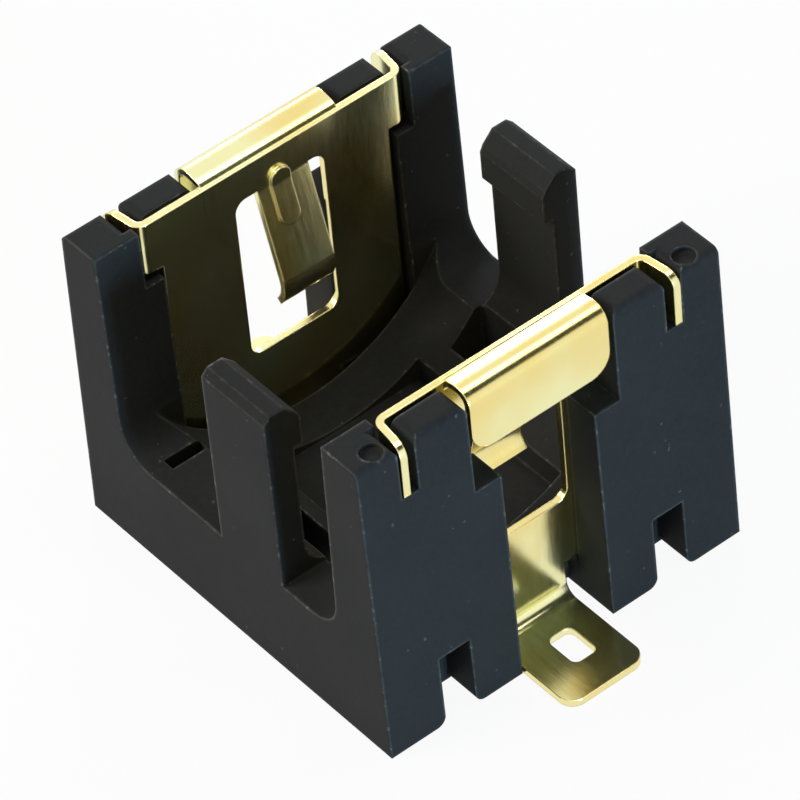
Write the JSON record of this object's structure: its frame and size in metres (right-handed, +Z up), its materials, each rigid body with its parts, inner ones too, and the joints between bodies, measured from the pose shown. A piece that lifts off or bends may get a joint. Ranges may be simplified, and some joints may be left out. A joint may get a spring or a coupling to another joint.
{
  "type": "coin cell holder",
  "caption": "Black moulded board-mount holder for a short cylindrical cell, with an open cradle, hooked retaining arms and folded gold-plated spring contacts in its end walls.",
  "frame": {"origin": "middle of the footprint, on the board's surface", "axes": "+X along the cell toward the front contact, +Y across the cell, +Z up from the board"},
  "size_m": [0.0194, 0.014, 0.0122],
  "materials": {
    "housing": "fine moulded matt black",
    "contact": "bright gold plating on stamped sheet"
  },
  "bodies": {
    "root": {"housing": "housing", "front_contact": "contact", "rear_contact": "contact"}
  },
  "joints": []
}
